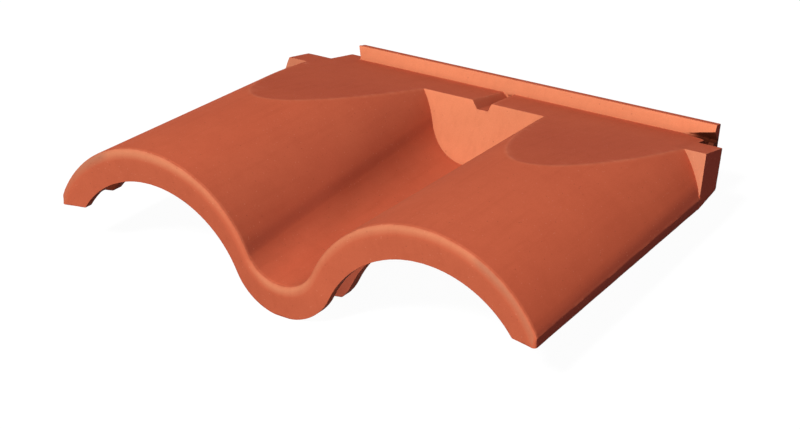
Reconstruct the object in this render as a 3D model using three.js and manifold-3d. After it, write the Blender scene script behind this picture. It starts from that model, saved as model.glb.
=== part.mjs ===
// Clay roof tile for the course under the ridge: two rolls with a pan between them, and a closed head.
// Millimetres. +X runs across the roof, +Y up the roof, +Z up off the tile's underside.
// The origin is under the middle of the tile, on the plane that the tile lies on.
//
// The tile is one pressed and fired piece. Its walls are one thickness, so it is built the way its two moulds
// shape it: an upper form gives the face, a lower form gives the hollow underside, and the clay between them is
// the tile. Both forms are swept along the same wave.

import * as THREE from 'three';
import Module from 'manifold-3d';
import { ConvexGeometry } from 'three/addons/geometries/ConvexGeometry.js';
import { mergeVertices } from 'three/addons/utils/BufferGeometryUtils.js';

const wasm = await Module();
wasm.setup();

// ---------------------------------------------------------------- driving dimensions

// Wave
const rollPitch = 165; // crest to crest
const crestHeightFront = 53; // pan floor to crest, on the face, at the nose
const crestHeightBack = 49.5; // the same, where the pan ends
const panRadiusFront = 21.5; // on the face, at the nose
const panRadiusBack = 32; // the same, where the pan ends
const leftLegRadius = 67; // outer side of the left roll, on the face, at the nose
const rightLegRadius = 70; // the same of the right roll
const legNarrowing = 6.5; // how much smaller both are where the pan ends
const legArc = 62; // degrees from the crest, where a leg straightens
const legSlope = 66; // degrees, of the straight part from there down to the rim
const bodyThickness = 10; // at the crests and in the pan
const straightDownShare = 0.5; // share of a thickness taken straight down, which thins the steep flanks
const legDownShare = 0.45; // the same at the foot of a leg

// Nose, the thick front edge
const noseThickness = 19;
const noseDepth = 8; // front to back, on the underside
const noseLean = 12; // degrees: the front face draws back as it goes down
const lipDrop = 4.5; // height of the rounded lip between the face and the nose
const lipRun = 2; // how far the lip reaches back onto the face

// Weather rib inside each roll, behind the nose and as deep as it
const ribStart = 22; // nose front to rib
const ribWidth = 6.5;
const ribPanHeight = 9.3; // its inner end, over the ground plane
const ribSideHeight = 31; // its outer end
const stepRun = 3; // length of the slopes into and out of the thick parts

// Side edges
const sideEdgeFront = 27.6; // flat underside of the side edges, over the ground plane, at the nose
const sideEdgeBack = 23.5; // the same, at the end wall
const sideEdgeHead = 28.2; // the same, at the back of the head's ends
const rimHeight = 4.9; // upright face along each side edge

// Head, the closed upper end
const wallTop = 198; // nose front to the top of the pan's end wall
const wallTopHeight = 32.5; // that edge over the pan floor
const wallLean = 31; // degrees off upright, bottom towards the nose
const wallThickness = 11;
const sideWallLean = 26; // the same for the wall's short ends, outside the rolls
const headTilt = 10.5; // degrees: the flat top falls towards the back
const headTopDepth = 21.2; // end wall to the back of the head's ends, at the top
const headEndReach = 13; // how far its ends stand out from the legs, at the end wall's top
const headSideDraft = 6.5; // degrees: the head widens downwards
const headSideThickness = 9;
const headBackLean = 28; // degrees off upright, bottom towards the nose

// Back strip, the ledge behind the head, and the upstand on it
const stripDepth = 22.8; // back of the head's ends to the back of the tile
const stripLeft = -121;
const stripRight = 125;
const stripThickness = 11;
const upstandLeft = -107.5; // at its foot
const upstandLeftFlare = 4; // how much further its top reaches
const upstandRight = 128;
const tipNotchLength = 17; // notch under the front of its right tip
const tipNotchHeight = 4.5;
const upstandHeight = 8; // square to the head's flat top
const upstandTopWidth = 5.5;
const upstandLean = 16; // degrees: draft on its front face

// Groove across the head, from the end wall back to the upstand: where its two edges and its floor are, off the
// tile's centre line
const grooveDepth = 4.4;
const grooveFront = { left: -6.6, floorLeft: -2.2, floorRight: 4.6, right: 5.8 };
const grooveBack = { left: -6, floorLeft: -1.3, floorRight: 0, right: 1.2 };

// Nibs, the two pads under the pan that hang on the batten
const nibInner = 13; // centre line to a nib's inner side
const nibWidth = 17;
const nibSetback = 34; // end wall's top back to the nibs' bearing faces
const nibLength = 17;
const nibTaper = 0.85; // size at the bottom, of the size where it leaves the pan

const standFlat = 0.4; // depth of the flat that the nose stands on

// ---------------------------------------------------------------- fineness of the mesh

const panSteps = 12; // facets from the middle of the pan to the flank
const rollSteps = 18; // facets from the flank to the crest
const legSteps = 18; // facets from the crest to the straight part of the leg
const lipSteps = 4;
const lengthSteps = 8; // along the taper

// ---------------------------------------------------------------- worked out from the above

const halfPitch = rollPitch / 2;
const panFloor = noseThickness - standFlat; // face of the pan's floor over the ground plane
const taperLength = wallTop; // distance over which the wave changes from front to back
const headBack = wallTop + headTopDepth; // nose front to the back of the head's ends
const tileLength = headBack + stripDepth;
const tilt = THREE.MathUtils.degToRad(headTilt);
const backSlope = tanOf(headBackLean);
const highestCrest = Math.max(crestHeightFront, crestHeightBack);
const faceDepth = noseThickness + bodyThickness; // how deep the upper form is filled before it is hollowed
const hollowDepth = panFloor + highestCrest + bodyThickness; // to below the ground plane, also under a crest
const outside = bodyThickness * 3; // how far the cutting forms reach past the clay
const farSide = 2 * rollPitch; // as far out to each side
const stepsPerSide = panSteps + rollSteps; // half pitch
const upstandFootWidth = upstandTopWidth + upstandHeight * tanOf(upstandLean);
const upstandRear = tileLength - upstandHeight * Math.sin(tilt); // where its back meets the strip

// Height of the head's flat top at a distance from the nose
function headHeight(back) {
  return panFloor + wallTopHeight - (back - wallTop) * Math.tan(tilt);
}

// Height of a side edge's underside at a distance from the nose
function edgeHeight(back) {
  return THREE.MathUtils.lerp(sideEdgeFront, sideEdgeBack, back / wallTop);
}

// ---------------------------------------------------------------- solids

function tanOf(degrees) {
  return Math.tan(THREE.MathUtils.degToRad(degrees));
}

function solidOf(geometry) {
  geometry.deleteAttribute('normal');
  geometry.deleteAttribute('uv');
  const merged = mergeVertices(geometry, 1e-3);
  return new wasm.Manifold(new wasm.Mesh({
    numProp: 3,
    vertProperties: new Float32Array(merged.attributes.position.array),
    triVerts: new Uint32Array(merged.index.array),
  }));
}

function geometryOf(solid) {
  const mesh = solid.getMesh();
  const geometry = new THREE.BufferGeometry();
  geometry.setAttribute('position', new THREE.BufferAttribute(mesh.vertProperties, 3));
  geometry.setIndex(new THREE.BufferAttribute(mesh.triVerts, 1));
  geometry.computeVertexNormals();
  return geometry;
}

// A side view, drawn as [distance from the nose, height] points, run across the tile between two values of x
function acrossTile(points, left, right) {
  const outline = new THREE.Shape(points.map(([back, height]) => new THREE.Vector2(back, height)));
  const geometry = new THREE.ExtrudeGeometry(outline, { depth: right - left, bevelEnabled: false });
  geometry.applyMatrix4(new THREE.Matrix4().makeBasis(
    new THREE.Vector3(0, 1, 0),
    new THREE.Vector3(0, 0, 1),
    new THREE.Vector3(1, 0, 0),
  ));
  geometry.translate(left, 0, 0);
  return solidOf(geometry);
}

// A front view, drawn as [distance from the centre line, height] points, run back between two distances from
// the nose
function alongTile(points, front, back) {
  const outline = new THREE.Shape(points.map(([across, height]) => new THREE.Vector2(across, height)));
  const geometry = new THREE.ExtrudeGeometry(outline, { depth: back - front, bevelEnabled: false });
  geometry.rotateX(Math.PI / 2);
  geometry.translate(0, back, 0);
  return solidOf(geometry);
}

// ---------------------------------------------------------------- the wave

// A point in or on the tile. `across` counts half pitches from the middle of the pan, `back` is the distance
// from the nose, and `below` is the depth under the face. Between the crests, the pan and the rolls are arcs that
// meet in one flank, so a roll's inner radius follows from the pan's radius and the height of the wave. Outside a
// crest the leg is an arc, then one straight facet, and then the upright rim.
function wavePoint(across, back, below) {
  const taper = back / taperLength;
  const height = THREE.MathUtils.lerp(crestHeightFront, crestHeightBack, taper);
  const side = Math.sign(across);
  const share = Math.abs(across);
  let x;
  let z;
  let down = below * straightDownShare;
  if (share > 1) {
    const facets = (share - 1) * stepsPerSide;
    const turned = Math.min(facets / legSteps, 1);
    const angle = THREE.MathUtils.degToRad(legArc) * turned;
    const radius = (side < 0 ? leftLegRadius : rightLegRadius) - legNarrowing * taper;
    const arcEnd = panFloor + height - radius * (1 - Math.cos(THREE.MathUtils.degToRad(legArc)));
    const drop = (arcEnd - rimHeight - edgeHeight(back)) * THREE.MathUtils.clamp(facets - legSteps, 0, 1);
    const upright = hollowDepth * Math.max(facets - legSteps - 1, 0) / (stepsPerSide - legSteps - 1);
    down = below * THREE.MathUtils.lerp(straightDownShare, legDownShare, turned);
    const inner = radius - (below - down);
    x = halfPitch + inner * Math.sin(angle) + drop / tanOf(legSlope);
    z = height - radius + inner * Math.cos(angle) - drop - upright;
  } else {
    const square = below - down;
    const panRadius = THREE.MathUtils.lerp(panRadiusFront, panRadiusBack, taper);
    const bothRadii = (halfPitch ** 2 + height ** 2) / (2 * height);
    const rollRadius = bothRadii - panRadius;
    const flankAngle = Math.asin(halfPitch / bothRadii);
    const panShare = panSteps / stepsPerSide;
    if (share <= panShare) {
      const angle = flankAngle * share / panShare;
      x = (panRadius + square) * Math.sin(angle);
      z = panRadius - (panRadius + square) * Math.cos(angle);
    } else {
      const angle = flankAngle * (1 - share) / (1 - panShare);
      x = halfPitch - (rollRadius - square) * Math.sin(angle);
      z = height - rollRadius + (rollRadius - square) * Math.cos(angle);
    }
  }
  return new THREE.Vector3(side * x, back, panFloor + z - down);
}

// A section along the tile, drawn as (distance from the nose, depth under the face), swept across the wave from
// the bottom of one leg to the bottom of the other
function alongWave(section) {
  const wavesAcross = 4;
  const geometry = new THREE.ExtrudeGeometry(section, {
    depth: wavesAcross,
    steps: wavesAcross * stepsPerSide,
    bevelEnabled: false,
  });
  const position = geometry.attributes.position;
  for (let i = 0; i < position.count; i += 1) {
    const across = position.getZ(i) - wavesAcross / 2;
    const point = wavePoint(across, position.getX(i), -position.getY(i));
    position.setXYZ(i, point.x, point.y, point.z);
  }
  return solidOf(geometry);
}

// Points along one depth, close enough together to follow the taper
function taperRun(section, from, to, below) {
  for (let i = 1; i <= lengthSteps; i += 1) {
    section.lineTo(THREE.MathUtils.lerp(from, to, i / lengthSteps), -below);
  }
}

// ---------------------------------------------------------------- upper form: the face, the lip and the nose

function faceForm() {
  const lean = tanOf(noseLean);
  const section = new THREE.Shape();
  section.moveTo(lipRun, 0);
  for (let i = 1; i < lipSteps; i += 1) {
    const angle = (Math.PI / 2) * i / lipSteps;
    section.lineTo(lipRun * (1 - Math.sin(angle)), -lipDrop * (1 - Math.cos(angle)));
  }
  section.lineTo(0, -lipDrop);
  section.lineTo((faceDepth - lipDrop) * lean, -faceDepth);
  taperRun(section, (faceDepth - lipDrop) * lean, tileLength, faceDepth);
  section.lineTo(tileLength, 0);
  taperRun(section, tileLength, lipRun, 0);
  return alongWave(section);
}

// ---------------------------------------------------------------- lower form: the hollow under the tile

function hollowForm() {
  const section = new THREE.Shape();
  section.moveTo(-outside, -hollowDepth);
  section.lineTo(tileLength + outside, -hollowDepth);
  section.lineTo(tileLength + outside, -bodyThickness);
  taperRun(section, tileLength + outside, noseDepth + stepRun, bodyThickness);
  section.lineTo(noseDepth, -noseThickness);
  section.lineTo(-outside, -noseThickness);
  return alongWave(section);
}

// The ribs are one swept bar whose low parts, under the pan and by the side edges, are cut away
function weatherRibs() {
  const ribEnd = ribStart + ribWidth;
  const root = bodyThickness / 2;
  const run = stepRun * (noseThickness - root) / (noseThickness - bodyThickness);
  const section = new THREE.Shape();
  section.moveTo(ribStart - run, -root);
  section.lineTo(ribStart, -noseThickness);
  section.lineTo(ribEnd, -noseThickness);
  section.lineTo(ribEnd + run, -root);
  const below = (height) => [
    [-outside, -outside],
    [tileLength, -outside],
    [tileLength, height],
    [-outside, height],
  ];
  return alongWave(section)
    .subtract(acrossTile(below(ribPanHeight), -halfPitch, halfPitch))
    .subtract(acrossTile(below(ribSideHeight), halfPitch, farSide))
    .subtract(acrossTile(below(ribSideHeight), -farSide, -halfPitch));
}

// ---------------------------------------------------------------- head

// Everything under the head's flat top, lowered by `drop` square to it
function underHead(drop) {
  const lowered = drop / Math.cos(tilt);
  const front = -outside;
  const back = tileLength + outside;
  return acrossTile([
    [front, -outside],
    [back, -outside],
    [back, headHeight(back) - lowered],
    [front, headHeight(front) - lowered],
  ], -farSide, farSide);
}

// A stretch of the head from its front wall to `backAtTop`, leaning as the wall and the back do. `inset` moves
// its front back by a wall's thickness, for the hollow in it.
function headStretch(left, right, lean, inset, backAtTop) {
  const top = headHeight(wallTop) + outside;
  const front = wallTop + inset / Math.cos(THREE.MathUtils.degToRad(lean));
  const wallAt = (height) => front + (height - headHeight(wallTop)) * tanOf(lean);
  const backAt = (height) => backAtTop + (height - headHeight(backAtTop)) * backSlope;
  return acrossTile([
    [wallAt(-outside), -outside],
    [backAt(-outside), -outside],
    [backAt(top), top],
    [wallAt(top), top],
  ], left, right);
}

// The head closes the pan between the crests, and the space beside each leg out to the head's own ends
function headBlock(inset, backAtTop) {
  const endInset = inset > 0 ? headSideThickness : 0;
  const top = headHeight(wallTop) + outside;
  const endAt = (height, legRadius) => {
    const radius = legRadius - legNarrowing;
    const fall = panFloor + crestHeightBack - headHeight(wallTop);
    const leg = halfPitch + Math.sqrt(fall * (2 * radius - fall));
    return leg + headEndReach - endInset + (headHeight(wallTop) - height) * tanOf(headSideDraft);
  };
  const ends = alongTile([
    [-endAt(-outside, leftLegRadius), -outside],
    [endAt(-outside, rightLegRadius), -outside],
    [endAt(top, rightLegRadius), top],
    [-endAt(top, leftLegRadius), top],
  ], 0, tileLength + 2 * outside);
  return headStretch(-halfPitch, halfPitch, wallLean, inset, backAtTop)
    .add(headStretch(-farSide, -halfPitch, sideWallLean, inset, backAtTop))
    .add(headStretch(halfPitch, farSide, sideWallLean, inset, backAtTop))
    .intersect(ends);
}

// The ledge behind the head's ends
function backStrip() {
  const under = (back) => headHeight(back) - stripThickness;
  const front = headBack - bodyThickness;
  return acrossTile([
    [front, under(front)],
    [tileLength - stripThickness * backSlope, under(tileLength)],
    [tileLength, headHeight(tileLength)],
    [tileLength, headHeight(front)],
    [front, headHeight(front)],
  ], stripLeft, stripRight);
}

// The upstand is drawn on a level strip, with its back at 0, and laid on the slope of the head
function upstand() {
  const base = headHeight(upstandRear);
  const sunk = stripThickness / 2;
  const laid = ([along, height]) => [
    upstandRear + along * Math.cos(tilt) + height * Math.sin(tilt),
    base - along * Math.sin(tilt) + height * Math.cos(tilt),
  ];
  const bar = acrossTile([
    [0, -sunk],
    [0, upstandHeight],
    [-upstandTopWidth, upstandHeight],
    [-upstandFootWidth, 0],
    [-upstandFootWidth, -sunk],
  ].map(laid), -farSide, farSide);
  const ends = alongTile([
    [upstandLeft, base - outside],
    [upstandRight, base - outside],
    [upstandRight, base + outside],
    [upstandLeft - upstandLeftFlare * outside / upstandHeight, base + outside],
    [upstandLeft, base],
  ], 0, tileLength + outside);
  const notch = new THREE.ConeGeometry(2 * tipNotchHeight, 2 * tipNotchLength, 4);
  notch.translate(0, -tipNotchLength, 0);
  notch.rotateZ(Math.PI / 2);
  notch.translate(upstandRight - tipNotchLength, -upstandFootWidth, 0);
  notch.rotateX(-tilt);
  notch.translate(0, upstandRear, base);
  return bar.intersect(ends).subtract(solidOf(notch));
}

// The groove runs from the end wall to the foot of the upstand
function groove() {
  const end = upstandRear - upstandFootWidth * Math.cos(tilt);
  const corners = [wallTop - outside, end].flatMap((back) => {
    const across = (edge) => {
      return THREE.MathUtils.mapLinear(back, wallTop, end, grooveFront[edge], grooveBack[edge]);
    };
    const surface = headHeight(back);
    const floor = surface - grooveDepth / Math.cos(tilt);
    return [
      new THREE.Vector3(across('floorLeft'), back, floor),
      new THREE.Vector3(across('floorRight'), back, floor),
      new THREE.Vector3(across('left'), back, surface),
      new THREE.Vector3(across('right'), back, surface),
      new THREE.Vector3(across('left'), back, surface + outside),
      new THREE.Vector3(across('right'), back, surface + outside),
    ];
  });
  return solidOf(new ConvexGeometry(corners));
}

// ---------------------------------------------------------------- underside: side edges and nibs

// What is cut away below the side edges, outside the crest of a roll. The cut rises under the head's ends.
function underSideEdge(inner, outer) {
  const wallFoot = wallTop - (headHeight(wallTop) - sideEdgeBack) * tanOf(sideWallLean);
  const end = tileLength + outside;
  return acrossTile([
    [-outside, -outside],
    [end, -outside],
    [end, sideEdgeHead],
    [headBack, sideEdgeHead],
    [wallFoot, edgeHeight(wallFoot)],
    [-outside, edgeHeight(-outside)],
  ], inner, outer);
}

// The two nibs run down from the middle of the pan's thickness, drawing in on all four sides
function nibs() {
  const nibFront = wallTop - nibSetback;
  const section = new THREE.Shape();
  section.moveTo(nibFront - outside, -bodyThickness / 2);
  section.lineTo(nibFront - outside, -hollowDepth);
  section.lineTo(tileLength, -hollowDepth);
  section.lineTo(tileLength, -bodyThickness / 2);
  const underPan = alongWave(section);
  const height = 2 * panFloor;
  const pair = [-1, 1].map((side) => {
    const outline = new THREE.CylinderGeometry(1, nibTaper, height, 4);
    outline.rotateY(Math.PI / 4);
    outline.rotateX(Math.PI / 2);
    outline.scale(nibWidth * Math.SQRT1_2, nibLength * Math.SQRT1_2, 1);
    outline.translate(side * (nibInner + nibWidth / 2), nibFront + nibLength / 2, height / 2);
    return solidOf(outline);
  });
  return pair[0].add(pair[1]).intersect(underPan);
}

// ---------------------------------------------------------------- the tile

function tileSolid() {
  const rolls = faceForm().intersect(headStretch(-farSide, farSide, 0, -tileLength, headBack));
  const upper = rolls.add(headBlock(0, headBack)).intersect(underHead(0));
  const headHollow = headBlock(wallThickness, tileLength + outside);
  const lower = hollowForm().add(headHollow).intersect(underHead(bodyThickness));
  const aboveGround = acrossTile([
    [-outside, 0],
    [tileLength, 0],
    [tileLength, farSide],
    [-outside, farSide],
  ], -farSide, farSide);

  return upper.subtract(lower)
    .add(weatherRibs())
    .subtract(underSideEdge(halfPitch, farSide))
    .subtract(underSideEdge(-farSide, -halfPitch))
    .add(backStrip().intersect(underHead(0)))
    .add(nibs())
    .add(upstand())
    .subtract(groove())
    .intersect(aboveGround);
}

const clay = new THREE.MeshStandardMaterial({ color: 0xb8583a, roughness: 0.85, metalness: 0 });
const geometry = geometryOf(tileSolid());
geometry.computeBoundingBox();
const middle = geometry.boundingBox.getCenter(new THREE.Vector3());
const tile = new THREE.Mesh(geometry, clay);
tile.name = 'ridge_course_tile';
tile.position.set(-middle.x, -middle.y, 0);

const object = new THREE.Group();
object.add(tile);
export default object;
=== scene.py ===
# %% [markdown]
# # A clay roof tile
# One piece of pressed and fired clay: two rolls with a pan between them, and a closed head that carries a
# narrow upstand. The solid comes from the frame at its real size. This lesson gives it what a mould and a
# kiln leave behind: arrises that are a little soft, rolls that are truly round, and the matt, grainy red of
# bare terracotta.

# %% Load the frame
import math

import bpy
import numpy as np
from mathutils import Matrix, Vector
from mathutils.bvhtree import BVHTree
from mathutils.kdtree import KDTree


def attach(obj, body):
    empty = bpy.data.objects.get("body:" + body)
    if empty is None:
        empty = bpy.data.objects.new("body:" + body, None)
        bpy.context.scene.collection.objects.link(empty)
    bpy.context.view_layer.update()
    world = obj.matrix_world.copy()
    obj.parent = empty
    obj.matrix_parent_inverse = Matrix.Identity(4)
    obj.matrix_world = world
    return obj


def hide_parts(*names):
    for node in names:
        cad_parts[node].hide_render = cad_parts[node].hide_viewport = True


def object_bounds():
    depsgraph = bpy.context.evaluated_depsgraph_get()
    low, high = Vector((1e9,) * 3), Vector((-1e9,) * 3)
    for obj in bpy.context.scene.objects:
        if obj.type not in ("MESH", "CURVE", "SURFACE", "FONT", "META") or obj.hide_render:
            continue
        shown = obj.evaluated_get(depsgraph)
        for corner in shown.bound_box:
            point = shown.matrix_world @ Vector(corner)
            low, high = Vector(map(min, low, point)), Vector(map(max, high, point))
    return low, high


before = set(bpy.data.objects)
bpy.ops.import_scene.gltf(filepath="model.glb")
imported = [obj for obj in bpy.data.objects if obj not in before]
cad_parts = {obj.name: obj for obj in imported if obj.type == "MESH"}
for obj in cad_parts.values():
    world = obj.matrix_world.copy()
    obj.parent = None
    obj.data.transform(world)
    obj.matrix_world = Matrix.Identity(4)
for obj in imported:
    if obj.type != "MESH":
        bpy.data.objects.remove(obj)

cad_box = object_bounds()
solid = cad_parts["ridge_course_tile"]
print("solid:", len(solid.data.polygons), "triangles")
print("size in mm:", [round(1000 * side, 1) for side in cad_box[1] - cad_box[0]])

# %% [markdown]
# ## The camera
# The tile is seen from above its right front corner, so that the nose, the pan's end wall and the upstand all
# show. A long lens keeps the rolls from spreading. The camera is placed by its own position and by the two
# angles it looks along, which is easier to adjust than a target.

# %% Place the camera
def direction(azimuth, elevation):
    """Unit vector towards a place around the tile. Azimuth 0 is in front of the nose, 90 to its right."""
    a, e = math.radians(azimuth), math.radians(elevation)
    return Vector((math.sin(a) * math.cos(e), -math.cos(a) * math.cos(e), math.sin(e)))


def look(item, back):
    """Turns a camera or a lamp so that `back` is the way from what it looks at to itself."""
    item.rotation_mode = "QUATERNION"
    item.rotation_quaternion = (-back).to_track_quat("-Z", "Y")


CAMERA_PLACE = (0.46847, -0.7330, 0.4198)
CAMERA_AZIMUTH, CAMERA_ELEVATION = 33.0, 25.2
LENS, SENSOR = 78.66, 36  # mm
NEAREST, FARTHEST = 0.05, 30
camera = bpy.data.objects.new("camera", bpy.data.cameras.new("camera"))
bpy.context.scene.collection.objects.link(camera)
camera.location = CAMERA_PLACE
look(camera, direction(CAMERA_AZIMUTH, CAMERA_ELEVATION))
camera.data.sensor_width, camera.data.lens = SENSOR, LENS
camera.data.clip_start, camera.data.clip_end = NEAREST, FARTHEST
bpy.context.scene.camera = camera
print("camera to tile:", round(camera.location.length, 3), "m")

# %% [markdown]
# ## The light
# One lamp does nearly all the work. It stands straight in front of the nose, high up, so it lights the end wall
# and the upstand fully, the crests less, and the sloping head and the flanks least, and every face has a tone
# of its own. Two low lamps in front lift the nose and look under the rolls. Three weak ones at the back and
# the sides only keep the far faces readable. All hang on one sphere round the tile, told by two angles each.

# %% Hang the lamps
def lamp(name, back, size, watts):
    """A round soft lamp that faces the tile."""
    data = bpy.data.lights.new(name, "AREA")
    data.shape = "DISK"
    data.size = size
    data.energy = watts
    made = bpy.data.objects.new(name, data)
    bpy.context.scene.collection.objects.link(made)
    made.location = back * LAMP_DISTANCE
    look(made, back)


LAMP_DISTANCE = 5.0
LAMPS = (  # name, azimuth, elevation, size in metres, watts
    ("front_lamp", 0, 44, 1.0, 278),
    ("low_lamp", 30, 6, 1.0, 95),
    ("nose_lamp", 0, 8, 2.0, 25),
    ("right_lamp", 110, 15, 2.0, 10),
    ("back_lamp", 180, 15, 2.0, 28),
    ("left_lamp", -90, 10, 2.0, 14),
)
for name, azimuth, elevation, size, watts in LAMPS:
    lamp(name, direction(azimuth, elevation), size, watts)
print("lamps:", len(LAMPS))

# %% [markdown]
# ## The world and the floor
# The camera and every reflection see plain white behind the tile, while the clay itself is lit by a dim world.
# The floor is treated the same way. It is white to look at and still takes a faint shadow, but it throws
# little light back, or the tile's dark sides would wash out. Light Path tells the kinds of ray apart.

# %% Make the world
def node(tree, kind, **inputs):
    """Adds a shader node and sets the named inputs."""
    made = tree.nodes.new("ShaderNode" + kind)
    for name, value in inputs.items():
        made.inputs[name.replace("_", " ")].default_value = value
    return made


def shown_rays(tree):
    """1 for the rays that show the background: from the camera, and by way of a reflection or glass."""
    path = node(tree, "LightPath")
    total = path.outputs["Is Camera Ray"]
    for name in ("Is Glossy Ray", "Is Transmission Ray"):
        either = node(tree, "Math")
        either.operation = "MAXIMUM"
        tree.links.new(total, either.inputs[0])
        tree.links.new(path.outputs[name], either.inputs[1])
        total = either.outputs[0]
    return total


def grey(level):
    return level, level, level, 1


ROOM_LIGHT = 0.03  # what the world gives to the clay, where 1 is the white that is shown
world = bpy.data.worlds.new("studio")
bpy.context.scene.world = world
world.use_nodes = True
tree = world.node_tree
level = node(tree, "MapRange", To_Min=ROOM_LIGHT, To_Max=1.0)
tree.links.new(shown_rays(tree), level.inputs["Value"])
background = tree.nodes["Background"]
background.inputs["Color"].default_value = grey(1)
tree.links.new(level.outputs["Result"], background.inputs["Strength"])
print("world to the clay:", ROOM_LIGHT)

# %% Lay the floor
FLOOR_SIZE = 14
FLOOR_DULL = 0.12  # its grey for the light that it throws back
FLOOR_SHADED, FLOOR_GLOW = 0.08, 0.965  # what is shown: a part that a shadow dims, and one that it doesn't
bpy.ops.mesh.primitive_plane_add(size=FLOOR_SIZE)
floor = bpy.context.object
floor.name = "floor"
paper = bpy.data.materials.new("white_floor")
paper.use_nodes = True
tree = paper.node_tree
tree.nodes.clear()
dull = node(tree, "BsdfDiffuse", Color=grey(FLOOR_DULL))
shaded = node(tree, "BsdfDiffuse", Color=grey(FLOOR_SHADED))
glow = node(tree, "Emission", Strength=FLOOR_GLOW)
pale = node(tree, "AddShader")
either = node(tree, "MixShader")
end = node(tree, "OutputMaterial")
tree.links.new(shaded.outputs[0], pale.inputs[0])
tree.links.new(glow.outputs[0], pale.inputs[1])
tree.links.new(shown_rays(tree), either.inputs[0])
tree.links.new(dull.outputs[0], either.inputs[1])
tree.links.new(pale.outputs[0], either.inputs[2])
tree.links.new(either.outputs[0], end.inputs["Surface"])
floor.data.materials.append(paper)
bpy.context.scene.view_settings.view_transform = "Standard"
print("floor:", FLOOR_SIZE, "m wide")

# %% [markdown]
# ## The clay body
# The solid is made of flat facets, and its edges are as sharp as a drawing's. Clay comes out of a mould with
# rolls that are truly round and arrises that are a little soft. A bevel would have to cope with every awkward
# corner of the head, so a voxel remesh is used instead: it wraps a copy in an even skin of small squares,
# which can then be relaxed. The plain copy is kept beside it for a while, as the form that the skin clings to.
# Its triangles arrive loose, so they are merged first.

# %% Copy the solid and merge its loose triangles
def activate(item):
    """Makes one object the only selected one, for the operators."""
    bpy.ops.object.select_all(action="DESELECT")
    item.select_set(True)
    bpy.context.view_layer.objects.active = item


def copy_of(source, name):
    """A new object with a mesh of its own."""
    made = bpy.data.objects.new(name, source.data.copy())
    bpy.context.scene.collection.objects.link(made)
    made.data.materials.clear()
    activate(made)
    return made


def apply(item, name, kind, **settings):
    """Adds a modifier to an object, sets it and applies it."""
    activate(item)
    made = item.modifiers.new(name, kind)
    for setting, value in settings.items():
        setattr(made, setting, value)
    bpy.ops.object.modifier_apply(modifier=made.name)
    print(name + ":", len(item.data.polygons), "faces")


SAME_POINT = 1e-6
form = copy_of(solid, "form")
bpy.ops.object.mode_set(mode="EDIT")
bpy.ops.mesh.select_all(action="SELECT")
bpy.ops.mesh.remove_doubles(threshold=SAME_POINT)
bpy.ops.object.mode_set(mode="OBJECT")
print("merged:", len(form.data.vertices), "points")

# %% [markdown]
# The upstand's right tip is undercut, so that the next tile's strip can slide in below it. The pocket starts at
# nothing and grows towards the tip, and its wall leans in over a flat floor. That is the shape of a cone with
# three sides, so such a cone is laid on the head's slope with its point to the left, and cut out of the form.

# %% Undercut the tip of the upstand
def read(items, name, width=1, kind=float):
    """One property of every item of a mesh, as an array."""
    values = np.empty(len(items) * width, kind)
    items.foreach_get(name, values)
    return values.reshape(-1, width) if width > 1 else values


HEAD_TILT = math.radians(10.5)
UPSTAND_HEIGHT = 0.008
AT_THE_BACK = 1e-5  # a point this near to the rearmost one belongs to the upstand's back
WEDGE_OFFSET = (-0.0085, -0.0082, 0.0003)  # from the tip's rear foot, along the head's slope
WEDGE_SIZE = (0.0090, 0.0058, 0.0210)
points = read(form.data.vertices, "co", 3)
tip = points[points[:, 1] > cad_box[1][1] - AT_THE_BACK].max(0)
slope = Matrix.Rotation(-HEAD_TILT, 3, "X")
rear_foot = Vector(tip.tolist()) - slope @ Vector((0, 0, UPSTAND_HEIGHT))
bpy.ops.mesh.primitive_cone_add(vertices=3, radius1=1, depth=1)
wedge = bpy.context.object
wedge.rotation_euler = (math.pi / 2, -HEAD_TILT, -math.pi / 2)
wedge.location = rear_foot + slope @ Vector(WEDGE_OFFSET)
wedge.scale = WEDGE_SIZE
bpy.ops.object.transform_apply()
wedge_centre = read(wedge.data.polygons, "center", 3)
wedge_normal = read(wedge.data.polygons, "normal", 3)
apply(form, "undercut", "BOOLEAN", object=wedge, operation="DIFFERENCE", solver="EXACT")
bpy.data.objects.remove(wedge)
apply(form, "triangles", "TRIANGULATE")

# %% [markdown]
# The edges that the mould really has are now told apart from the kinks between two facets of a roll, by how
# far they fold. Everything that follows, from the soft arrises to the wear, is measured from them.

# %% Find the moulded edges
def moulded_edges(mesh):
    """The two ends of every edge that isn't a kink between facets, and whether it is an outside edge."""
    normal = read(mesh.polygons, "normal", 3)
    centre = read(mesh.polygons, "center", 3)
    corner_face = np.repeat(np.arange(len(mesh.polygons)), 3)
    by_edge = np.argsort(read(mesh.loops, "edge_index", kind=int), kind="stable")
    first, second = corner_face[by_edge].reshape(-1, 2).T
    fold = np.degrees(np.arccos(np.clip((normal[first] * normal[second]).sum(1), -1, 1)))
    outside = (normal[first] * (centre[second] - centre[first])).sum(1) < 0
    ends = read(mesh.vertices, "co", 3)[read(mesh.edges, "vertices", 2, int)]
    in_lip = (ends[:, :, 1] < cad_box[0][1] + LIP_RUN).all(1) & (fold < LIP_FOLD)
    kept = (fold > FACET_FOLD) & ~in_lip
    return ends[kept], outside[kept]


FACET_FOLD = 8  # degrees; two facets of a roll fold by less
LIP_RUN = 0.0025  # the rounded lip over the nose lies this near its front, and its facets fold by
LIP_FOLD = 30  # less than this
edges, outside = moulded_edges(form.data)
length = np.linalg.norm(edges[:, 1] - edges[:, 0], axis=1)
print("outside edges:", round(length[outside].sum(), 2), "m")
print("inside corners:", round(length[~outside].sum(), 2), "m")

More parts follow.
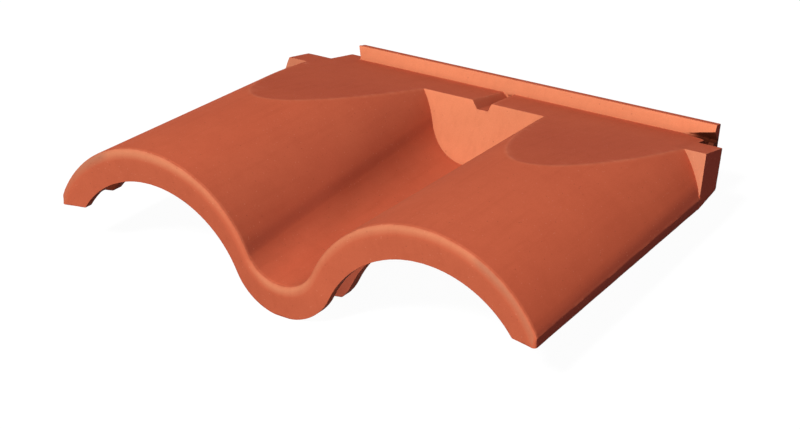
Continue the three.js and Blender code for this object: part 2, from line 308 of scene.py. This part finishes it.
# %% Measure from the edges
def nearest(edges, places):
    """The nearest point on any of the edges to each place, and how far away it is."""
    start, way = edges[:, 0], edges[:, 1] - edges[:, 0]
    count = np.ceil(np.linalg.norm(way, axis=1) / SAMPLE_SPACING).astype(int) + 1
    owner = np.repeat(np.arange(len(edges)), count)
    along = np.concatenate([np.linspace(0, 1, number) for number in count])
    tree = KDTree(len(owner))
    for index, sample in enumerate((start[owner] + along[:, None] * way[owner]).tolist()):
        tree.insert(sample, index)
    tree.balance()
    found = owner[[tree.find(place)[1] for place in places.tolist()]]
    share = ((places - start[found]) * way[found]).sum(1) / (way[found] ** 2).sum(1)
    point = start[found] + np.clip(share, 0, 1)[:, None] * way[found]
    return point, np.linalg.norm(places - point, axis=1)


SAMPLE_SPACING = 0.0005
farthest = nearest(edges, points)[1].max()
print("farthest corner of the form from an edge:", round(farthest * 1000, 1), "mm")

# %% [markdown]
# The squares of the skin are as fine as the triangle count allows. The remesh only comes near to the form, so
# a Shrinkwrap then lays every point of the skin on it.

# %% Wrap the form in an even skin
VOXEL = 0.00075
tile = copy_of(form, "tile_clay")
apply(tile, "skin", "REMESH", mode="VOXEL", voxel_size=VOXEL)
apply(tile, "cling", "SHRINKWRAP", target=form, wrap_method="NEAREST_SURFACEPOINT")

# %% [markdown]
# ## Round rolls and soft arrises
# The skin now lies on the form, facets and all, but it cuts every arris off by a fraction of a square. So the
# points next to an edge are first drawn onto it. Two rounds of smoothing follow. The first is strong and works
# only away from the moulded edges: it melts the facets into one round surface. The second is gentle and works
# everywhere, so each arris gets the small round that wet clay has. Last, the broad surfaces are thinned to
# fewer and larger triangles, while the band along each edge keeps its fine ones.

# %% Draw the skin onto the edges
ON_EDGE = 0.75  # of a square
places = read(tile.data.vertices, "co", 3)
point, distance = nearest(edges, places)
on_edge = distance < ON_EDGE * VOXEL
places[on_edge] = point[on_edge]
tile.data.vertices.foreach_set("co", places.ravel())
print("points on an edge:", int(on_edge.sum()))

# %% Mark the broad surfaces
def group(name, start, run):
    """A vertex group that grows, in tenths, from 0 at one distance from the edges to 1 a run farther away."""
    made = tile.vertex_groups.new(name=name)
    tenths = np.round(10 * np.clip((distance - start) / run, 0, 1)).astype(int)
    for tenth in range(1, 11):
        made.add(np.flatnonzero(tenths == tenth).tolist(), tenth / 10, "REPLACE")
    return made.name


MELT_START, MELT_RUN = 0.001, 0.002
THIN_START, THIN_RUN = 0.0009, 0.0001
broad = group("broad", MELT_START, MELT_RUN)
away = group("away", THIN_START, THIN_RUN)
print("skin near an edge:", round(float((distance < MELT_START).mean()), 3))

# %% Relax and thin the skin
MELT_ROUNDS, SOFTEN_ROUNDS = 45, 1
THINNED_TO = 0.22
CREASE = math.radians(35)  # a fold beyond this is shaded as an edge
apply(tile, "melt", "SMOOTH", factor=0.5, iterations=MELT_ROUNDS, vertex_group=broad)
apply(tile, "soften", "SMOOTH", factor=0.5, iterations=SOFTEN_ROUNDS)
apply(tile, "thin", "DECIMATE", ratio=THINNED_TO, vertex_group=away, use_collapse_triangulate=True)
tile.vertex_groups.clear()
bpy.ops.object.shade_smooth_by_angle(angle=CREASE)
print("triangles:", sum(len(face.vertices) - 2 for face in tile.data.polygons))

# %% [markdown]
# ## Where the clay is worn, and where shade is painted
# Three numbers are stored on every point of the skin: how near it is to an outside edge, how near to an inside
# corner, and how boxed in it is. The material reads them: wear goes on the outside edges, and painted shade in
# the inside corners and the boxed-in pockets.

# %% Store the nearness to edges and corners
def store(name, values):
    """Keeps a number for each point of the tile, for the material to read."""
    made = tile.data.attributes.new(name, "FLOAT", "POINT")
    made.data.foreach_set("value", values.astype(np.float32))


ARRIS_REACH = 0.0035
CORNER_REACH = 0.006
places = read(tile.data.vertices, "co", 3)
to_arris = nearest(edges[outside], places)[1]
to_corner = nearest(edges[~outside], places)[1]
store("arris", np.clip(1 - to_arris / ARRIS_REACH, 0, 1))
store("corner", np.clip(1 - to_corner / CORNER_REACH, 0, 1))
print("near a corner:", round(float((to_corner < CORNER_REACH).mean()), 3), "of the points")

# %% [markdown]
# How boxed in a point is, is measured by looking round from it: rays go out over the half of space that it
# faces, and those that soon hit clay again are counted; the material paints shade by this number. Only points
# near an inside corner can be boxed in, so the others are left out, which saves most of the time. The clay below
# the upstand's tip, which reaches past the ledge, is open to one side, so too few rays hit there. It lies in
# shade all the same, so it is marked by its place.

# %% Store how boxed in each point is
def fan(count):
    """Unit vectors over the upper half of space, denser towards the top, as light falls on a matt face."""
    turn = np.arange(count) * math.pi * (3 - math.sqrt(5))
    out = np.sqrt((np.arange(count) + 0.5) / count)
    return np.stack([out * np.cos(turn), out * np.sin(turn), np.sqrt(1 - out**2)], 1)


def boxed_in(places, normals):
    """The share of the rays from each place that soon hit clay again."""
    clay = BVHTree.FromObject(form, bpy.context.evaluated_depsgraph_get())
    side = np.cross(normals, np.where(np.abs(normals[:, :1]) < 0.9, [[1.0, 0, 0]], [[0, 1.0, 0]]))
    side /= np.linalg.norm(side, axis=1)[:, None]
    other = np.cross(normals, side)
    hits = np.zeros(len(places))
    starts = (places + RAY_START * normals).tolist()
    for across, along, up in fan(POCKET_RAYS):
        ways = (across * side + along * other + up * normals).tolist()
        hits += [clay.ray_cast(start, way, POCKET_REACH)[0] is not None for start, way in zip(starts, ways)]
    return hits / POCKET_RAYS


POCKET_RAYS = 24
POCKET_REACH = 0.015
RAY_START = 0.0003
TIP_OVERHANG = 0.0032  # the tip reaches this far past the ledge
UPSTAND_FOOT = 0.0082  # and its foot is this deep
normals = np.array([normal.vector for normal in tile.data.vertex_normals])
asked = to_corner < POCKET_REACH
pocket = np.zeros(len(places))
pocket[asked] = boxed_in(places[asked], normals[asked])
across, back, up = ((places - rear_foot) @ np.array(slope)).T
# The clay below the tip lies in shade, so it gets the full painted shade.
below_tip = (across > -TIP_OVERHANG) & (back > -UPSTAND_FOOT) & (up < 0)
pocket[below_tip] = 1
store("pocket", pocket)
bpy.data.objects.remove(form)
print("boxed in by more than half:", round(float((pocket > 0.5).mean()), 3), "of the points")

# %% [markdown]
# ## Terracotta
# The red is iron in the clay. A kiln never fires it evenly, so the tone drifts over the width of a hand, and
# a finer mottle comes from the clay's own minerals. On top of that the colour carries painted light and shade:
# faces turned towards the front lamps are painted a lighter orange, and faces turned away a darker red.

# %% Start the material
clay = bpy.data.materials.new("terracotta")
clay.use_nodes = True
tree = clay.node_tree
shader = tree.nodes["Principled BSDF"]
coordinates = node(tree, "TexCoord")
place = coordinates.outputs["Object"]
facing = coordinates.outputs["Normal"]


def plug(value, socket):
    """Links an output to a socket, or sets the socket to a plain value."""
    if isinstance(value, bpy.types.NodeSocket):
        tree.links.new(value, socket)
    else:
        socket.default_value = value


def maths(how, first, second=0.0):
    made = node(tree, "Math")
    made.operation = how
    plug(first, made.inputs[0])
    plug(second, made.inputs[1])
    return made.outputs[0]


def remap(value, low, high, to_low=0, to_high=1):
    made = node(tree, "MapRange", From_Min=low, From_Max=high, To_Min=to_low, To_Max=to_high)
    tree.links.new(value, made.inputs["Value"])
    return made.outputs["Result"]


def noise(scale, detail, rough=0.5, source=place):
    made = node(tree, "TexNoise", Scale=scale, Detail=detail, Roughness=rough)
    tree.links.new(source, made.inputs["Vector"])
    return made.outputs["Fac"]


print("material:", clay.name)

# %% Read the place and the facing
def parts(vector):
    """The three coordinates of a vector."""
    made = node(tree, "SeparateXYZ")
    tree.links.new(vector, made.inputs[0])
    return made.outputs["X"], made.outputs["Y"], made.outputs["Z"]


def reach(vector, way):
    """How far a vector reaches along a fixed way."""
    made = node(tree, "VectorMath")
    made.operation = "DOT_PRODUCT"
    tree.links.new(vector, made.inputs[0])
    made.inputs[1].default_value = way
    return made.outputs["Value"]


x, y, z = parts(place)
facing_x, facing_y, facing_z = parts(facing)
from_middle = maths("ABSOLUTE", x)
print("nodes so far:", len(tree.nodes))

# %% Mix the body colour, with painted light and shade by facing
def blend(amount, first, second, how="MIX"):
    made = tree.nodes.new("ShaderNodeMix")
    made.data_type = "RGBA"
    made.blend_type = how
    for value, socket in ((amount, made.inputs[0]), (first, made.inputs[6]), (second, made.inputs[7])):
        plug(value, socket)
    return made.outputs[2]


# Painted light and shade: the facing towards the front lamps picks a darker red, the body red or a lighter
# orange.
SHADED_RED = (0.515, 0.094, 0.045, 1)
BODY_RED = (0.615, 0.130, 0.059, 1)
LIT_ORANGE = (0.635, 0.200, 0.096, 1)
TOWARD_THE_LAMP = direction(0, 31)
FACING_NOISE = 0.05  # random unevenness in the painted light
toward_lamp = maths("ADD", reach(facing, TOWARD_THE_LAMP), remap(noise(14, 2), 0.3, 0.7, -FACING_NOISE, FACING_NOISE))
colour = blend(remap(toward_lamp, 0.25, 0.7), SHADED_RED, BODY_RED)
painted_lit = remap(toward_lamp, 0.82, 0.98)
colour = blend(painted_lit, colour, LIT_ORANGE)
print("flashing mixed")

# %% [markdown]
# The steep outer flanks are painted lighter, a painted light, and the inner flanks down into the pan are painted
# less red, a painted shade that holds back the light bouncing between them. The undersides are painted a deep
# brown red as shade, and so is the right side, which the lamps barely reach, most of all low down.

# %% Paint light and shade on the flanks, the undersides and the right side
def tint(amount, colour, factors):
    """Multiplies a colour by three factors, as far as the amount says."""
    return blend(amount, colour, (*factors, 1), "MULTIPLY")


# Painted light on the outer flanks, painted shade on the inner ones.
LIT_OUTER_FLANK, SHADED_INNER_FLANK = (1.06, 1.05, 1.02, 1), (0.94, 1.06, 1.07, 1)
steep = remap(maths("ABSOLUTE", facing_x), 0.3, 0.85)
inner = remap(from_middle, 0.086, 0.076)
colour = blend(steep, colour, blend(inner, LIT_OUTER_FLANK, SHADED_INNER_FLANK), "MULTIPLY")
# Painted shade: faces that look down are darkened to a deep brown red.
colour = tint(remap(facing_z, -0.3, -0.7), colour, (0.33, 0.27, 0.29))
# Painted shade: faces that look to the right are darkened, and more so low down.
shaded_right_side = remap(facing_x, 0.85, 0.97)
low = remap(z, 0.030, 0.015)
colour = tint(shaded_right_side, colour, (0.50, 0.45, 0.60))
colour = tint(maths("MULTIPLY", shaded_right_side, low), colour, (0.55, 0.55, 0.65))
print("flanks, undersides and right side toned")

# %% [markdown]
# The nose and the lip over it face the front lamps, and are painted darker: a painted shade that holds back the
# light they take. Near the ends of the head, the faces that the painted light made orange are painted darker
# again.

# %% Paint shade on the nose and the ends of the head
# Painted shade on the nose and its lip.
nose_shade = maths("MULTIPLY", remap(y, -0.1155, -0.1170), remap(facing_y, -0.1, -0.3))
lip = maths("MULTIPLY", nose_shade, remap(facing_z, 0.35, 0.65))
colour = tint(nose_shade, colour, (0.785, 0.80, 0.83))
colour = tint(lip, colour, (0.88, 0.78, 0.76))
# Painted shade: less of the painted light near the ends of the head.
head_ends = maths("MULTIPLY", remap(from_middle, 0.108, 0.114), remap(y, 0.098, 0.094))
colour = tint(maths("MULTIPLY", painted_lit, head_ends), colour, (0.78, 0.84, 0.92))
print("nose wiped, ends shielded")

# %% [markdown]
# The rib under the rolls lies in the nose's shadow. Its front face is painted paler, a painted light in place of
# the lamp that doesn't reach it, and at the left end it is painted darker, as painted shade.

# %% Paint light and shade on the rib
# Painted light on the rib's front face, painted shade at its left end.
SHADED_RIB_END, LIT_RIB = (0.45, 0.38, 0.38, 1), (1.30, 1.30, 1.55, 1)
rib = maths("MULTIPLY", remap(y, -0.116, -0.114), remap(y, -0.090, -0.092))
rib = maths("MULTIPLY", rib, remap(facing_y, -0.5, -0.7))
colour = blend(rib, colour, blend(remap(x, -0.09, -0.08), SHADED_RIB_END, LIT_RIB), "MULTIPLY")
print("rib rubbed")

# %% [markdown]
# Three patterns of noise break the tone up: a slow drift from the kiln, a mottle as fine as the clay's own
# lumps, and thin streaks along the tile, where the clay was drawn out under the press. The streaks are a fine
# noise on coordinates that are squeezed along the tile.

# %% Drift, mottle and streak the tone
DRAWN_OUT = (1, 0.05, 0.4)
stretched = node(tree, "Mapping", Scale=DRAWN_OUT)
tree.links.new(place, stretched.inputs["Vector"])
drift = remap(noise(9, 2), 0.35, 0.65)
mottle = remap(noise(110, 5, 0.6), 0.4, 0.7, 0, 0.6)
streaks = remap(noise(300, 3, 0.55, stretched.outputs["Vector"]), 0.5, 0.75, 0, 0.6)
colour = tint(drift, colour, (1.03, 1.05, 1.05))
colour = tint(mottle, colour, (0.94, 0.91, 0.90))
colour = tint(streaks, colour, (0.93, 0.90, 0.89))
print("drift, mottle and streaks mixed")

# %% [markdown]
# ## Grit, pores and wear
# Close up, fired clay is full of specks: paler grains of sand and tiny dark pores, each in its own small cell.
# Only some of the cells have one, or the pattern would look sown.

# %% Sprinkle the specks
def specks(scale, size, share):
    """Round spots in a share of the cells, 1 inside a spot and 0 outside."""
    cells = node(tree, "TexVoronoi", Scale=scale)
    tree.links.new(place, cells.inputs["Vector"])
    chosen = maths("LESS_THAN", parts(cells.outputs["Color"])[0], share)
    return maths("MULTIPLY", remap(cells.outputs["Distance"], size, size * 0.5), chosen)


SAND = (0.66, 0.25, 0.15, 1)
PORE = (0.20, 0.040, 0.022, 1)
sand = specks(420, 0.17, 0.35)
pores = specks(330, 0.13, 0.3)
grain = noise(1400, 3, 0.7)
colour = blend(maths("MULTIPLY", sand, 0.35), colour, SAND)
colour = blend(maths("MULTIPLY", pores, 0.45), colour, PORE)
colour = tint(remap(grain, 0.35, 0.65), colour, (0.95, 0.94, 0.93))
print("specks sprinkled")

# %% [markdown]
# The arrises are rubbed a little paler where they face up, raggedly, because nothing rubs evenly. Inside
# corners are painted a little darker, and boxed-in pockets nearly black: painted shade. The stored numbers know
# the
# pockets only as finely as the skin has points, so in the undercut the painted shadow is told by its place
# instead:
# a point lies in it if it is beyond none of the cone's faces. There the shadow grows darker towards the tip.

# %% Rub the arrises and paint shade in the corners
def stored(name):
    made = node(tree, "Attribute")
    made.attribute_name = name
    return made.outputs["Fac"]


RUBBED = (0.68, 0.21, 0.11, 1)
CORNER_SHADE = (0.30, 0.062, 0.030, 1)
ragged = maths("MULTIPLY", remap(noise(160, 4, 0.6), 0.3, 0.7, 0.1, 0.9), remap(facing_z, 0.2, 0.6))
rubbed = maths("MULTIPLY", remap(stored("arris"), 0.45, 1.0, 0, 0.45), ragged)
# Painted shade: darker near inside corners.
corner_shade = remap(stored("corner"), 0.5, 1.0, 0, 0.15)
colour = blend(rubbed, colour, RUBBED)
colour = blend(corner_shade, colour, CORNER_SHADE)
print("arrises rubbed, corners dusted")

# %% Paint shade in the pockets
# Painted shade: boxed-in points and the undercut below the tip go nearly black.
POCKET_SHADE = (0.075, 0.013, 0.005, 1)
NOTCH_RIM = (0.0003, 0.0002)  # metres outside the cone where the painted shadow ends and where it is full
NOTCH_START, NOTCH_FULL = 0.017, 0.009  # metres from the tip where it starts and where it is full
offsets = (wedge_centre * wedge_normal).sum(1).tolist()
outwards = [
    maths("SUBTRACT", reach(place, normal), offset)
    for normal, offset in zip(wedge_normal.tolist(), offsets)
]
beyond = outwards[0]
for other in outwards[1:]:
    beyond = maths("MAXIMUM", beyond, other)
darker_to_tip = remap(x, float(tip[0]) - NOTCH_START, float(tip[0]) - NOTCH_FULL, 0.1, 1)
notch_shadow = maths("MULTIPLY", remap(beyond, *NOTCH_RIM), darker_to_tip)
pocket_shade = maths("MAXIMUM", remap(stored("pocket"), 0.55, 0.8, 0, 0.9), notch_shadow)
colour = blend(pocket_shade, colour, POCKET_SHADE)
tree.links.new(colour, shader.inputs["Base Color"])
print("pockets sooted")

# %% [markdown]
# Bare clay has next to no gloss. What little there is comes off the rubbed arrises, while the inside corners,
# grit and pores break it up, so the roughness changes from place to place. The relief is as small as in the
# hand: a grain that is felt more than seen, pores as deep as a pinprick, and the slow wave of a face that was
# pressed wet.

# %% Set the roughness
MATT, SMOOTHEST = 0.88, 0.74
GLOSS = 0.06
rough = remap(grain, 0.3, 0.7, SMOOTHEST, MATT)
rough = maths("SUBTRACT", rough, maths("MULTIPLY", rubbed, 0.15))
rough = maths("ADD", rough, maths("MULTIPLY", corner_shade, 0.2))
tree.links.new(rough, shader.inputs["Roughness"])
shader.inputs["Specular IOR Level"].default_value = GLOSS
print("roughness:", SMOOTHEST, "to", MATT)

# %% Raise the relief
def relief(height, distance, strength, below=None):
    """Bumps of a height in metres, on top of the relief below."""
    made = node(tree, "Bump", Strength=strength, Distance=distance)
    tree.links.new(height, made.inputs["Height"])
    if below:
        tree.links.new(below, made.inputs["Normal"])
    return made.outputs["Normal"]


WAVE_HEIGHT, GRAIN_HEIGHT, PORE_DEPTH = 0.0012, 0.00012, 0.00015
waves = relief(noise(45, 2), WAVE_HEIGHT, 0.10)
grained = relief(noise(900, 4, 0.65), GRAIN_HEIGHT, 0.45, waves)
pitted = relief(maths("SUBTRACT", 1.0, pores), PORE_DEPTH, 0.5, grained)
tree.links.new(pitted, shader.inputs["Normal"])
tile.data.materials.append(clay)
print("nodes:", len(tree.nodes))

# %% [markdown]
# ## Hand over
# The dressed tile stands for the solid and rides on the same body.

# %% Tie the tile to the frame
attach(tile, "root")
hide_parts("ridge_course_tile")
